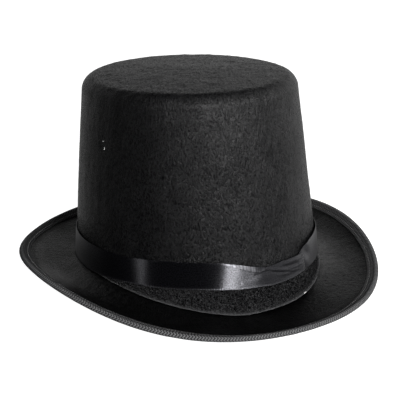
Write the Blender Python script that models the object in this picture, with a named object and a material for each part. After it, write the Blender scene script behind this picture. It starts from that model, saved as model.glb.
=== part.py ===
"""Black felt top hat, in separate pieces.

Frame: metres, +Z up, the wearer faces -Y, the wearer's left is +X.
Origin: on the surface the hat stands on, under the centre of the brim.

The crown is one moulded felt shell that stands on the brim and leans back a little. The brim is
pressed felt whose inner edge turns up into a collar inside the crown. Most pieces are
cross-sections swept round the hat's oval. A "corner" is one corner of such a section: a function
that takes a turn (the angle round the oval, 0 at the front, growing towards the wearer's left)
and gives a point.
"""

import math

import bmesh
import bpy
from mathutils import Matrix, Vector

for old in list(bpy.data.objects):
    bpy.data.objects.remove(old)

# ---------------------------------------------------------------- shared sizes, mm

MILLIMETRE = 0.001
SEGMENTS = 56                 # steps round the oval
GAP = 0.3                     # air between neighbouring pieces
FRONT, BACK = 0.0, math.pi    # turns

# Crown, on its outer felt surface. LENGTH and WIDTH are half sizes, front to back and across.
CROWN_FLOOR_LENGTH, CROWN_FLOOR_WIDTH = 105.3, 92.1    # where its walls would meet the floor
CROWN_TOP_LENGTH, CROWN_TOP_WIDTH = 89.2, 78.0
CROWN_HEIGHT = 155.7          # floor to top edge, along the crown's axis
CROWN_LEAN = math.radians(3.34)    # backwards
CROWN_FELT = 2.0
TOP_RADIUS = 11.0             # rounded edge between wall and tip
WALL_TOP = CROWN_HEIGHT - TOP_RADIUS
INSIDE_CROWN = CROWN_FELT + GAP    # inset of whatever lies against the crown's inner face

LEAN_COS, LEAN_SIN = math.cos(CROWN_LEAN), math.sin(CROWN_LEAN)
TAPER_LENGTH = (CROWN_FLOOR_LENGTH - CROWN_TOP_LENGTH) / CROWN_HEIGHT
TAPER_WIDTH = (CROWN_FLOOR_WIDTH - CROWN_TOP_WIDTH) / CROWN_HEIGHT

# Brim
BRIM_FELT = 1.8
HALF_FELT = BRIM_FELT / 2
EDGE_LENGTH, EDGE_WIDTH = 151.6, 133.6    # half sizes of the wired edge's centre line
EDGE_MEAN_Z = 12.35           # mean height of the wired edge
EDGE_SIDE_WAVE = 6.9          # its wave that lifts the two sides and lowers front and back
EDGE_QUARTER_WAVE = 2.43      # its wave that lifts front, back and sides, and lowers between them
EDGE_SCALE = 46.0             # brim width that turns mm from the edge into a share of the width
HEAD_RISE = 13.8              # the head opening is this much higher at the sides
HEAD_RISE_POWER = 1.5         # how late that rise comes on
LEVEL_SINE = 0.2              # the opening is level where the sine of the turn is below this
LEVEL_RUN = 0.25              # share of the width, next to the crown, before the brim turns up
ROLL = 2.6                    # how late the brim turns up towards its edge
BRIM_DIP = 3.2                # depth of the channel between crown and edge at the sides
SLOPE_STEP = 0.004            # share of the width over which the brim's slope is taken

COLLAR_FELT = 1.6
COLLAR_TOP = 10.0             # above the brim
COLLAR_IN = INSIDE_CROWN + COLLAR_FELT

THREAD_RADIUS = 0.22

# Ribbon, along the crown's axis
RIBBON_LOW, RIBBON_HIGH = 17.1, 37.1
RIBBON_THICK = 0.5


# ---------------------------------------------------------------- shape of the hat

def lean(x, y, z):
    """From the crown's own upright frame, in mm, to the hat's frame, in metres."""
    return Vector((x, LEAN_COS * y + LEAN_SIN * z, LEAN_COS * z - LEAN_SIN * y)) * MILLIMETRE


def wall_axes(height, inset):
    """Half length and half width of the crown's wall, moved inwards by inset."""
    return (CROWN_FLOOR_LENGTH - TAPER_LENGTH * height - inset,
            CROWN_FLOOR_WIDTH - TAPER_WIDTH * height - inset)


def oval_point(turn, length, width, height):
    """A point of an oval square to the crown's axis."""
    return lean(width * math.sin(turn), -length * math.cos(turn), height)


def crown_point(turn, height, inset):
    """A point of the crown's wall, given by its height along the crown's axis."""
    return oval_point(turn, *wall_axes(height, inset), height)


def sideness(turn):
    """0 over the level parts at front and back, rising to 1 at the sides."""
    return min(1.0, max(0.0, (abs(math.sin(turn)) - LEVEL_SINE) / (1 - LEVEL_SINE)))


def head_z(turn):
    """Height of the brim's upper face where the crown stands on it."""
    return BRIM_FELT + HEAD_RISE * sideness(turn) ** HEAD_RISE_POWER


def edge_z(turn):
    """Height of the wired edge."""
    return (EDGE_MEAN_Z - EDGE_SIDE_WAVE * math.cos(2 * turn)
            + EDGE_QUARTER_WAVE * math.cos(4 * turn))


def height_at(turn, above, inset=0.0):
    """Height along the crown's axis at which its wall is so many mm above the brim."""
    z = head_z(turn) + above
    cosine = math.cos(turn)
    return ((z - LEAN_SIN * (CROWN_FLOOR_LENGTH - inset) * cosine)
            / (LEAN_COS - LEAN_SIN * TAPER_LENGTH * cosine))


def wall_point(turn, above, inset):
    """A point of the crown's wall, given by its height above the brim."""
    return crown_point(turn, height_at(turn, above, inset), inset)


def brim_middle(turn, across):
    """(half length, half width, z, shift backwards) of the felt's middle layer.

    across runs from the head opening (0) to the wired edge (1).
    """
    height = height_at(turn, 0.0)
    length, width = wall_axes(height, INSIDE_CROWN + HALF_FELT)
    shift = LEAN_SIN * height * (1 - across)    # the head opening follows the leaning crown
    inner_z, outer_z = head_z(turn) - HALF_FELT, edge_z(turn)
    run = max(0.0, (across - LEVEL_RUN) / (1 - LEVEL_RUN)) ** ROLL
    channel = math.sin(math.pi * min(1.0, max(0.0, across))) ** 2
    dip = BRIM_DIP * sideness(turn) ** 2 * channel
    return (length + (EDGE_LENGTH - length) * across,
            width + (EDGE_WIDTH - width) * across,
            inner_z + (outer_z - inner_z) * run - dip,
            shift)


def brim_point(turn, across, off=0.0, out=0.0):
    """A point off mm above the middle layer, square to it, and out mm outwards along it."""
    length, width, z, shift = brim_middle(turn, across)
    next_length, _, next_z, _ = brim_middle(turn, across + SLOPE_STEP)
    slope = math.atan2(next_z - z, next_length - length)
    outwards = out * math.cos(slope) - off * math.sin(slope)
    upwards = out * math.sin(slope) + off * math.cos(slope)
    return Vector(((width + outwards) * math.sin(turn),
                   -(length + outwards) * math.cos(turn) + shift,
                   z + upwards)) * MILLIMETRE


def from_edge(distance):
    """Share of the brim's width at so many mm inside the wired edge."""
    return 1.0 - distance / EDGE_SCALE


# ---------------------------------------------------------------- corners of cross-sections

def crown_corner(height, inset):
    return lambda turn: crown_point(turn, height, inset)


def wall_corner(above, inset):
    return lambda turn: wall_point(turn, above, inset)


def share_corner(above, top, share, inset):
    """A share of the way up the wall, from a height above the brim to a height on the axis."""
    def corner(turn):
        low = height_at(turn, above)
        return crown_point(turn, low + (top - low) * share, inset)
    return corner


def brim_corner(across, off):
    return lambda turn: brim_point(turn, across, off)


def edge_arc(radius, degrees):
    """On a circle round the wired edge, from straight outwards (0) to above it (90)."""
    angle = math.radians(degrees)
    return lambda turn: brim_point(turn, 1.0, radius * math.sin(angle), radius * math.cos(angle))


def around(centre, radius, angle):
    """On an upright circle round another corner, in the plane through the hat's Z axis."""
    def corner(turn):
        point = centre(turn)
        outwards = Vector((point.x, point.y, 0.0)).normalized()
        arm = outwards * math.cos(angle) + Vector((0, 0, 1)) * math.sin(angle)
        return point + arm * radius * MILLIMETRE
    return corner


# ---------------------------------------------------------------- making solids

def new_object(name, work, mat, sharp=40.0, parent=None):
    """Turns a bmesh in the hat's frame into an object, with its origin at its parent's."""
    bmesh.ops.recalc_face_normals(work, faces=work.faces)
    if work.calc_volume(signed=True) < 0:
        bmesh.ops.reverse_faces(work, faces=work.faces)
    if parent is not None:
        bmesh.ops.translate(work, verts=work.verts, vec=-parent.location)
    mesh = bpy.data.meshes.new(name)
    work.to_mesh(mesh)
    work.free()
    mesh.shade_smooth()
    mesh.set_sharp_from_angle(angle=math.radians(sharp))
    mesh.materials.append(mat)
    obj = bpy.data.objects.new(name, mesh)
    obj.parent = parent
    bpy.context.scene.collection.objects.link(obj)


def new_empty(name, location):
    empty = bpy.data.objects.new(name, None)
    empty.location = location
    bpy.context.scene.collection.objects.link(empty)
    return empty


def extrude_loop(work, verts, edges, points):
    """Extrudes a loop of edges and puts the new vertices at the points given, in order."""
    made = bmesh.ops.extrude_edge_only(work, edges=edges)["geom"]
    new = {item for item in made if isinstance(item, bmesh.types.BMVert)}
    follow = {}
    for vert in verts:
        for edge in vert.link_edges:
            other = edge.other_vert(vert)
            if other in new:
                follow[vert] = other
    order = [follow[vert] for vert in verts]
    for vert, point in zip(order, points):
        vert.co = point
    loop = [item for item in made if isinstance(item, bmesh.types.BMEdge)
            and item.verts[0] in new and item.verts[1] in new]
    return order, loop


def skin(loops):
    """A skin over closed loops of points. Returns it and (vertices, edges) of both end loops."""
    work = bmesh.new()
    verts = [work.verts.new(point) for point in loops[0]]
    edges = [work.edges.new(pair) for pair in zip(verts, verts[1:] + verts[:1])]
    first = last = (verts, edges)
    for points in loops[1:]:
        last = extrude_loop(work, *last, points)
    return work, first, last


def joined_solid(name, loops, mat, sharp=40.0, parent=None):
    """A solid whose last loop is joined back to its first."""
    work, first, last = skin(loops)
    bmesh.ops.bridge_loops(work, edges=first[1] + last[1])
    new_object(name, work, mat, sharp, parent)


def capped_solid(name, loops, mat, parent=None):
    """A solid closed by a flat face at each end."""
    work, first, last = skin(loops)
    work.faces.new(first[0])
    work.faces.new(last[0])
    new_object(name, work, mat, parent=parent)


def round_loops(section):
    """One loop round the whole oval for each corner of the section."""
    turns = [2 * math.pi * i / SEGMENTS for i in range(SEGMENTS)]
    return [[corner(turn) for turn in turns] for corner in section]


def ring(name, section, mat, sharp=40.0, parent=None):
    """A section swept all the way round the oval."""
    joined_solid(name, round_loops(section), mat, sharp, parent)


def shell(name, section, first_pole, last_pole, mat):
    """A closed cap. Its section runs from one pole, round the rim, to the other pole."""
    work, first, last = skin(round_loops(section))
    for (verts, _), pole in ((first, first_pole), (last, last_pole)):
        face = work.faces.new(verts)
        made = bmesh.ops.poke(work, faces=[face])
        made["verts"][0].co = pole
    new_object(name, work, mat)


def cord(name, centre, radius, mat, sides):
    """A round cord that runs all the way round along the corner given as its centre."""
    section = [around(centre, radius, 2 * math.pi * i / sides) for i in range(sides)]
    ring(name, section, mat, sharp=60.0)


def sewing_thread(name, centre):
    cord(name, centre, THREAD_RADIUS, thread, sides=4)


# ---------------------------------------------------------------- materials

def material(name, colour, roughness, metallic=0.0):
    made = bpy.data.materials.new(name)
    made.use_nodes = True
    shader = made.node_tree.nodes["Principled BSDF"]
    shader.inputs["Base Color"].default_value = (*colour, 1.0)
    shader.inputs["Roughness"].default_value = roughness
    shader.inputs["Metallic"].default_value = metallic
    return made


crown_felt = material("crown_felt", colour=(0.012, 0.012, 0.013), roughness=0.9)
brim_felt = material("brim_felt", colour=(0.010, 0.010, 0.011), roughness=0.8)
tape = material("binding_tape", colour=(0.016, 0.016, 0.017), roughness=0.75)
satin = material("ribbon_satin", colour=(0.008, 0.008, 0.010), roughness=0.28)
thread = material("black_thread", colour=(0.015, 0.015, 0.016), roughness=0.6)
band_cloth = material("sweatband_cloth", colour=(0.014, 0.014, 0.015), roughness=0.6)
lining = material("lining_satin", colour=(0.012, 0.012, 0.014), roughness=0.35)
steel = material("edge_wire", colour=(0.32, 0.32, 0.33), roughness=0.35, metallic=1.0)
plastic = material("reed_plastic", colour=(0.35, 0.35, 0.34), roughness=0.45)
label_cloth = material("label_cloth", colour=(0.75, 0.74, 0.71), roughness=0.6)


# ---------------------------------------------------------------- crown: one moulded felt shell

TIP_DOME = 2.0                        # the tip is this much higher at its middle
TIP_FLAT = 0.42                       # share of the tip's radius that is level
TIP_SHARES = (TIP_FLAT, 0.75)         # loops of the tip, from its middle outwards
ARC_DEGREES = (90, 70, 48, 24, 0)     # loops of the rounded edge, from the tip to the wall
WALL_SHARES = (0.85, 0.68, 0.5, 0.32, 0.16, 0.0)    # loops of the wall, downwards
WALL_START = 2.4                      # lowest loop of the wall, above the brim

FOOT_FLARE = 1.2                      # the cut edge of the crown turns outwards by this much
LEAST_FLARE = 0.05                    # share of the flare that always remains
FLARE_CLEAR = 1.5                     # room below the ribbon at which the flare would vanish
FLARE_RANGE = 8.0                     # further room over which it grows to its full size
FOOT_BEND = 1.2                       # height above the brim at which the foot starts to bend
BEND_SHARE = 0.4                      # share of the flare reached there
FOOT_CUT = 0.9                        # inner corner of the cut edge, outwards from the inner face


def flare(turn):
    """How far the foot turns outwards: less where the ribbon comes close to the brim."""
    room = RIBBON_LOW - height_at(turn, 0.0)
    return FOOT_FLARE * min(1.0, max(LEAST_FLARE, (room - FLARE_CLEAR) / FLARE_RANGE))


def arc_corner(degrees, inset):
    """A corner of the rounded top edge, from the wall (0) to the tip (90)."""
    angle = math.radians(degrees)
    radius = TOP_RADIUS - inset
    length, width = wall_axes(WALL_TOP, inset + radius * (1 - math.cos(angle)))
    height = WALL_TOP + radius * math.sin(angle)
    return lambda turn: oval_point(turn, length, width, height)


def tip_corner(share, inset):
    """A corner of the domed tip, at a share of the way from its middle to its edge."""
    length, width = wall_axes(WALL_TOP, TOP_RADIUS)
    slope_share = max(0.0, (share - TIP_FLAT) / (1 - TIP_FLAT))
    height = CROWN_HEIGHT + TIP_DOME * (1 - slope_share * slope_share) - inset
    return lambda turn: oval_point(turn, length * share, width * share, height)


def crown_face(inset):
    """Section of one face of the crown, from the tip down to the start of the foot."""
    return ([tip_corner(share, inset) for share in TIP_SHARES]
            + [arc_corner(degrees, inset) for degrees in ARC_DEGREES]
            + [share_corner(WALL_START, WALL_TOP, share, inset) for share in WALL_SHARES])


def make_crown():
    foot = [wall_corner(FOOT_BEND, CROWN_FELT),
            wall_corner(GAP, CROWN_FELT - FOOT_CUT),
            lambda turn: wall_point(turn, GAP, -flare(turn)),
            lambda turn: wall_point(turn, FOOT_BEND, -flare(turn) * BEND_SHARE)]
    middle = CROWN_HEIGHT + TIP_DOME
    shell("crown_shell", crown_face(CROWN_FELT) + foot + crown_face(0.0)[::-1],
          lean(0, 0, middle - CROWN_FELT), lean(0, 0, middle), crown_felt)


# ---------------------------------------------------------------- brim, with its collar

FELT_STOP = 1.3               # the brim's felt ends this far inside the wire
BRIM_SHARES = (0.10, LEVEL_RUN, 0.5, 0.7, from_edge(6.4), from_edge(FELT_STOP))

# Corners of the collar: height above the brim, inset from the crown's outer surface
COLLAR_UPPER = (
    (COLLAR_TOP, COLLAR_IN),
    (COLLAR_TOP, INSIDE_CROWN),
    (0.8, INSIDE_CROWN),
    (0.0, INSIDE_CROWN - 0.8),
)
COLLAR_LOWER = (              # the bend between the brim's underside and the collar
    (-BRIM_FELT, COLLAR_IN - 2.0),
    (-BRIM_FELT + 0.6, COLLAR_IN - 0.6),
    (0.2, COLLAR_IN),
)


def make_brim():
    section = [wall_corner(above, inset) for above, inset in COLLAR_UPPER]
    section += [brim_corner(share, HALF_FELT) for share in BRIM_SHARES]
    section += [brim_corner(share, -HALF_FELT) for share in reversed(BRIM_SHARES)]
    section += [wall_corner(above, inset) for above, inset in COLLAR_LOWER]
    ring("brim", section, brim_felt)


# ---------------------------------------------------------------- wired and bound edge

TAPE_THICK = 0.5
TAPE_IN = HALF_FELT + 0.2     # from the felt's middle layer to the tape's inner face
TAPE_OUT = TAPE_IN + TAPE_THICK
BINDING_LEG = 5.6             # from the wire to the hem of the tape
BINDING_ARC = (65, 22, -22, -65)    # corners round the wire, degrees
BINDING_SEAM = 4.4            # from the wire to the seam
SEAM_OFF = TAPE_OUT + THREAD_RADIUS + 0.12

WIRE_RADIUS = 0.45
WIRE_SIDES = 5
FERRULE_BORE, FERRULE_RADIUS, FERRULE_LENGTH = 0.58, 0.82, 11.0    # the bore is a radius too
FERRULE_SIDES = 10


def binding_face(off):
    """Section of one face of the tape, from its upper hem round the wire to its lower hem."""
    return ([brim_corner(from_edge(BINDING_LEG), off), brim_corner(from_edge(FELT_STOP), off)]
            + [edge_arc(off, degrees) for degrees in BINDING_ARC]
            + [brim_corner(from_edge(FELT_STOP), -off), brim_corner(from_edge(BINDING_LEG), -off)])


def make_binding():
    ring("edge_binding", binding_face(TAPE_OUT) + binding_face(TAPE_IN)[::-1], tape)


def make_wire():
    cord("edge_wire", brim_corner(1.0, 0.0), WIRE_RADIUS, steel, WIRE_SIDES)


def make_binding_threads():
    sewing_thread("binding_top_thread", brim_corner(from_edge(BINDING_SEAM), SEAM_OFF))
    sewing_thread("binding_under_thread", brim_corner(from_edge(BINDING_SEAM), -SEAM_OFF))


def make_ferrule():
    """A crimped sleeve over the wire's ends, along the one straight step of wire at the back."""
    next_turn = BACK + 2 * math.pi / SEGMENTS
    step = brim_point(next_turn, 1.0) - brim_point(BACK, 1.0)
    half_share = FERRULE_LENGTH * MILLIMETRE / step.length / 2

    def loop(radius, share):
        corners = [edge_arc(radius, 360 * i / FERRULE_SIDES) for i in range(FERRULE_SIDES)]
        return [corner(BACK).lerp(corner(next_turn), share) for corner in corners]

    start, stop = 0.5 - half_share, 0.5 + half_share
    loops = [loop(FERRULE_RADIUS, start), loop(FERRULE_RADIUS, stop),
             loop(FERRULE_BORE, stop), loop(FERRULE_BORE, start)]
    joined_solid("wire_ferrule", loops, steel)


# ---------------------------------------------------------------- ribbon round the crown

RIBBON_OUT = -GAP - RIBBON_THICK      # insets are negative outside the crown

# The lapped end, at the front
LAP_START, LAP_STOP = FRONT + math.radians(-9.0), FRONT + math.radians(22.0)
LAP_STATIONS = 9
LAP_IN = RIBBON_OUT - 0.3
LAP_OUT = LAP_IN - RIBBON_THICK
LAP_LOW_MARGIN, LAP_HIGH_MARGIN = 0.8, 1.0    # from the ribbon's edges to the lap's
LAP_LOW_GATHER = 1.5                  # rise of the lower edge over the whole lap
LAP_HIGH_GATHER = 4.0                 # fall of the upper edge for a whole lap's length
LAP_STRAIGHT = 0.2                    # share of the lap before the upper edge falls

# The stitch that holds the lap's end
TACK_TURN = LAP_STOP - math.radians(1.6)
TACK_HALF_TURN = 0.005                # radians
TACK_STATIONS = 3
TACK_LOW, TACK_HIGH = RIBBON_LOW + 5.0, RIBBON_HIGH - 7.5
TACK_IN = LAP_OUT - 0.25
TACK_OUT = TACK_IN - 0.5


def make_ribbon_loop(frame):
    middle = (RIBBON_LOW + RIBBON_HIGH) / 2
    outer = [crown_corner(height, RIBBON_OUT) for height in (RIBBON_LOW, middle, RIBBON_HIGH)]
    inner = [crown_corner(height, -GAP) for height in (RIBBON_HIGH, middle)]
    ring("ribbon_loop", [crown_corner(RIBBON_LOW, -GAP)] + outer + inner, satin, parent=frame)


def flat_strip(name, low, high, inner, outer, span, mat, frame):
    """A strip part of the way round. low and high are functions of the turn."""
    start, stop, stations = span
    loops = []
    for i in range(stations):
        turn = start + (stop - start) * i / (stations - 1)
        loops.append([crown_point(turn, low(turn), inner), crown_point(turn, low(turn), outer),
                      crown_point(turn, high(turn), outer), crown_point(turn, high(turn), inner)])
    capped_solid(name, loops, mat, frame)


def make_ribbon_lap(frame):
    """The lapped end narrows where it is gathered at its stitched end."""
    def share(turn):
        return (turn - LAP_START) / (LAP_STOP - LAP_START)

    def low(turn):
        return RIBBON_LOW + LAP_LOW_MARGIN + LAP_LOW_GATHER * share(turn)

    def high(turn):
        fall = LAP_HIGH_GATHER * max(0.0, share(turn) - LAP_STRAIGHT)
        return RIBBON_HIGH - LAP_HIGH_MARGIN - fall

    flat_strip("ribbon_lap", low, high, LAP_IN, LAP_OUT,
               (LAP_START, LAP_STOP, LAP_STATIONS), satin, frame)


def make_ribbon_tack(frame):
    span = (TACK_TURN - TACK_HALF_TURN, TACK_TURN + TACK_HALF_TURN, TACK_STATIONS)
    flat_strip("ribbon_tack", lambda turn: TACK_LOW, lambda turn: TACK_HIGH,
               TACK_IN, TACK_OUT, span, thread, frame)


def make_ribbon():
    """The ribbon's pieces share a frame, so that they lift off over the top together."""
    frame = new_empty("ribbon_frame", (0, 0, 0))
    make_ribbon_loop(frame)
    make_ribbon_lap(frame)
    make_ribbon_tack(frame)


# ---------------------------------------------------------------- sweatband

BAND_THICK = 0.6
BAND_LEVELS = (27.0, 10.0, 3.0)       # its corners above the fold, from the top down
BAND_TOP = BAND_LEVELS[0]
BAND_OUT = COLLAR_IN + GAP
BAND_IN = BAND_OUT + BAND_THICK

# The folded lower edge and the reed in it
REED_RADIUS = 0.55
REED_SIDES = 5
FOLD_BORE = 0.85                      # inner radius of the fold
FOLD_RADIUS = FOLD_BORE + BAND_THICK
REED_CENTRE = wall_corner(0.5, BAND_OUT + FOLD_RADIUS)
FOLD_OUTER = (0, -45, -90, -135, -180, -215)    # degrees, from the band down and inwards
FOLD_INNER = (-215, -180, -120, -60, 0)         # and back

BAND_SEAM = 4.6                       # above the brim
BAND_STITCH = BAND_IN + THREAD_RADIUS + 0.2     # inset of the threads on the band

# Zigzag that joins the band's ends, at the back on the wearer's right
JOINT_TURN = BACK + 0.30
JOINT_LOW, JOINT_HIGH = 7.0, BAND_TOP - 1.5
JOINT_STEPS = 12
JOINT_WIDTH = 3.2


def make_sweatband():
    def fold(radius, stations):
        return [around(REED_CENTRE, radius, math.radians(degrees)) for degrees in stations]

    section = [wall_corner(BAND_TOP, BAND_IN)]
    section += [wall_corner(above, BAND_OUT) for above in BAND_LEVELS]
    section += fold(FOLD_RADIUS, FOLD_OUTER) + fold(FOLD_BORE, FOLD_INNER)
    section += [wall_corner(above, BAND_IN) for above in BAND_LEVELS[:0:-1]]
    ring("sweatband", section, band_cloth)


def make_reed():
    cord("sweatband_reed", REED_CENTRE, REED_RADIUS, plastic, REED_SIDES)


def make_band_thread():
    sewing_thread("sweatband_thread", wall_corner(BAND_SEAM, BAND_STITCH))


def make_joint_thread():
    """The sewn joint of the sweatband: one square thread that goes up in a zigzag."""
    points = []
    for i in range(JOINT_STEPS + 1):
        above = JOINT_LOW + (JOINT_HIGH - JOINT_LOW) * i / JOINT_STEPS
        swing = (JOINT_WIDTH if i % 2 else -JOINT_WIDTH) / 2 / CROWN_FLOOR_WIDTH
        points.append(wall_point(JOINT_TURN + swing, above, BAND_STITCH))
    inward = (wall_point(JOINT_TURN, JOINT_LOW, BAND_STITCH + 1.0)
              - wall_point(JOINT_TURN, JOINT_LOW, BAND_STITCH)).normalized()
    corner_angles = [math.pi / 4 + math.pi / 2 * i for i in range(4)]
    loops = []
    for i, point in enumerate(points):
        ahead = (points[min(i + 1, JOINT_STEPS)] - points[max(i - 1, 0)]).normalized()
        sideways = ahead.cross(inward).normalized()
        loops.append([
            point + (sideways * math.cos(angle) + inward * math.sin(angle))
            * THREAD_RADIUS * MILLIMETRE
            for angle in corner_angles])
    capped_solid("sweatband_joint_thread", loops, thread)


# ---------------------------------------------------------------- lining

LINING_THICK = 0.5
LINING_BOTTOM = 12.5                  # above the brim
LINING_TOP = WALL_TOP - 2.5           # along the crown's axis
LINING_IN = INSIDE_CROWN + LINING_THICK

TIP_LINING_INSET = INSIDE_CROWN + 0.4
TIP_LINING_BASE = LINING_TOP + 0.4    # underside of its rim, along the crown's axis
TIP_LINING_DOME = 5.0                 # rise of its middle above the rim
# Share of the radius, rise above the rim
TIP_LINING_ROWS = ((0.5, 4.6), (0.93, 2.6), (1.0, 0.0))


def make_side_lining():
    # Share of the way up, inset
    corners = ((0.0, LINING_IN), (0.0, INSIDE_CROWN), (0.5, INSIDE_CROWN),
               (1.0, INSIDE_CROWN), (1.0, LINING_IN), (0.5, LINING_IN))
    ring("side_lining",
         [share_corner(LINING_BOTTOM, LINING_TOP, share, inset) for share, inset in corners],
         lining)


def make_tip_lining():
    length, width = wall_axes(LINING_TOP, TIP_LINING_INSET)

    def row(share, height):
        return lambda turn: oval_point(turn, length * share, width * share, height)

    def face(base):
        return [row(share, base + rise) for share, rise in TIP_LINING_ROWS]

    upper_base = TIP_LINING_BASE + LINING_THICK
    shell("tip_lining", face(upper_base) + face(TIP_LINING_BASE)[::-1],
          lean(0, 0, upper_base + TIP_LINING_DOME),
          lean(0, 0, TIP_LINING_BASE + TIP_LINING_DOME), lining)


def make_lining_thread():
    sewing_thread("lining_seam_thread",
                  crown_corner(LINING_TOP + 0.1, LINING_IN + THREAD_RADIUS + 0.25))


# ---------------------------------------------------------------- label at the back

LABEL_WIDTH, LABEL_HEIGHT, LABEL_THICK = 20.0, 34.0, 0.5
LABEL_BEVEL = 0.12
LABEL_LIFT = 0.4                      # from the hinge to the label's lower edge
LABEL_INSET = BAND_IN + 2.0
HINGE_ABOVE = 5.8                     # above the brim
SLOPE_ABOVE = 25.0                    # upper point of the line that the label lies along


def make_label():
    """Sewn at its lower edge. It swings about its parent's X axis, the line of stitches."""
    place = wall_point(BACK, HINGE_ABOVE, LABEL_INSET)
    along = (wall_point(BACK, SLOPE_ABOVE, LABEL_INSET) - place).normalized()
    hinge = new_empty("label_hinge", place)
    size = Vector((LABEL_WIDTH, LABEL_THICK, LABEL_HEIGHT)) * MILLIMETRE
    lift = Vector((0, 0, LABEL_HEIGHT / 2 + LABEL_LIFT)) * MILLIMETRE
    matrix = (Matrix.Translation(place)
              @ Matrix.Rotation(math.atan2(-along.y, along.z), 4, "X")
              @ Matrix.Translation(lift)
              @ Matrix.Diagonal((*size, 1.0)))
    work = bmesh.new()
    bmesh.ops.create_cube(work, size=1.0, matrix=matrix)
    bmesh.ops.bevel(work, geom=list(work.edges), offset=LABEL_BEVEL * MILLIMETRE,
                    segments=1, affect="EDGES")
    new_object("care_label", work, label_cloth, parent=hinge)


# ---------------------------------------------------------------- the whole hat

make_crown()
make_brim()
make_binding()
make_wire()
make_binding_threads()
make_ferrule()
make_ribbon()
make_sweatband()
make_reed()
make_band_thread()
make_joint_thread()
make_side_lining()
make_tip_lining()
make_lining_thread()
make_label()
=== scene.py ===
"""A black felt hat with a tapering flat-topped crown, a brim turned up at the sides and bound with
tape, and a satin ribbon whose gathered end laps over its start. Inside are a sweatband, linings and
a blank label.

The hat stands on the floor with its front towards -Y and the wearer's left towards +X. Shapes are
worked out in mm and scaled to metres as meshes are made. An angle t round the hat is 0 at the front
and grows towards +X.
"""
import math
from functools import cached_property

import bpy
import numpy as np
from mathutils import Matrix, Vector


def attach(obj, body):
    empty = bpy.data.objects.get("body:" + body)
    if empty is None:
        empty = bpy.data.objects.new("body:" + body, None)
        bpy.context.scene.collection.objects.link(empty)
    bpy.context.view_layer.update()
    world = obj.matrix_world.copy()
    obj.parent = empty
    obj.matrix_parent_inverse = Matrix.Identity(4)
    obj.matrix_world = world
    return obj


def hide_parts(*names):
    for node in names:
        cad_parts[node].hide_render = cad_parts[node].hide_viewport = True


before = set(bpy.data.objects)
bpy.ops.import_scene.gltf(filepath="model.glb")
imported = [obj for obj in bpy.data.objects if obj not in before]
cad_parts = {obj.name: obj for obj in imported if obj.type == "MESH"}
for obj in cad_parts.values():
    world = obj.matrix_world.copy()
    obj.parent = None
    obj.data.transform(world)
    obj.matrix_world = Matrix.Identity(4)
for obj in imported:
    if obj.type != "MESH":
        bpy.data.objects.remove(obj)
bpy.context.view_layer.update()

TAU = 2 * math.pi
DEG = math.pi / 180
UP = np.array([0, 0, 1.0])

# ------------------------------------------------------------------ the hat's form, mm

# the crown is an ellipse, half-length along Y and half-width along X, that tapers upward
FOOT_LENGTH, FOOT_WIDTH = 105.3, 92.1
TIP_LENGTH, TIP_WIDTH = 89.2, 78.0
CROWN_HEIGHT = 155.7
TAPER_LENGTH = (FOOT_LENGTH - TIP_LENGTH) / CROWN_HEIGHT
TAPER_WIDTH = (FOOT_WIDTH - TIP_WIDTH) / CROWN_HEIGHT
LEAN = math.radians(3.34)               # the crown tips back
LEAN_COS, LEAN_SIN = math.cos(LEAN), math.sin(LEAN)
SHOULDER = 11.0                         # radius between the wall and the tip
DOME = 2.0                              # rise of the tip's middle
WALL_TOP = CROWN_HEIGHT - SHOULDER
CROWN_FELT, BRIM_FELT = 2.0, 1.8        # thicknesses

EDGE_LENGTH, EDGE_WIDTH = 151.6, 133.6  # half-sizes of the brim's edge
SIDE_RISE, SIDE_DIP = 13.8, 3.2         # rise of the brim's root and sag of its run at the sides
LEVEL = 0.2                             # |sin t| up to which the root stays level
LEVEL_RUN, CURL_POWER = 0.25, 2.6       # level share of the brim's run, then its curl

# insets from the crown's outer face
COLLAR_OUT = CROWN_FELT + 0.3           # the brim's upstand inside the crown
COLLAR_IN = CROWN_FELT + 1.9
BAND_CLOTH = 0.6
BAND_OUT = COLLAR_IN + 0.3
BAND_IN = BAND_OUT + BAND_CLOTH
HOOK_RADIUS = 0.85                      # inside of the fold under the sweatband
HOOK_INSET = BAND_OUT + HOOK_RADIUS + BAND_CLOTH
HOOK_ABOVE = 0.5
BAND_SEAM = 4.6                         # stitching height above the brim's root
LINING_OUT, LINING_IN = 2.3, 2.8
LINING_TOP = WALL_TOP - 2.5


def turn(count):
    """Angles once round the hat, from the back."""
    return np.linspace(0, TAU, count, endpoint=False) - math.pi


def lean(x, y, z):
    points = np.broadcast_arrays(x, LEAN_COS * y + LEAN_SIN * z, LEAN_COS * z - LEAN_SIN * y)
    return np.stack(points, -1)


def half_sizes(height, inset):
    return FOOT_LENGTH - TAPER_LENGTH * height - inset, FOOT_WIDTH - TAPER_WIDTH * height - inset


def crown_point(t, height, inset=0.0):
    """A point on the wall, with height along the leaning axis."""
    length, width = half_sizes(height, inset)
    return lean(width * np.sin(t), -length * np.cos(t), height)


def shoulder_point(t, bend, inset=0.0):
    """A point on the rounding above the wall, bend radians round it."""
    radius = SHOULDER - inset
    length, width = half_sizes(WALL_TOP, inset + radius * (1 - math.cos(bend)))
    return lean(width * np.sin(t), -length * np.cos(t), WALL_TOP + radius * math.sin(bend))


def tip_point(t, share, inset=0.0):
    """A point on the tip, at a share of the way from its middle to the shoulder."""
    length, width = half_sizes(WALL_TOP, SHOULDER)
    z = CROWN_HEIGHT + DOME * (1 - share * share) - inset
    return lean(width * share * np.sin(t), -length * share * np.cos(t), z)


def side(t):
    """0 at the front and back, 1 at the sides."""
    return np.clip((np.abs(np.sin(t)) - LEVEL) / (1 - LEVEL), 0, 1)


def root_z(t):
    """Top face of the brim where it meets the crown."""
    return BRIM_FELT + SIDE_RISE * side(t) ** 1.5


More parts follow.
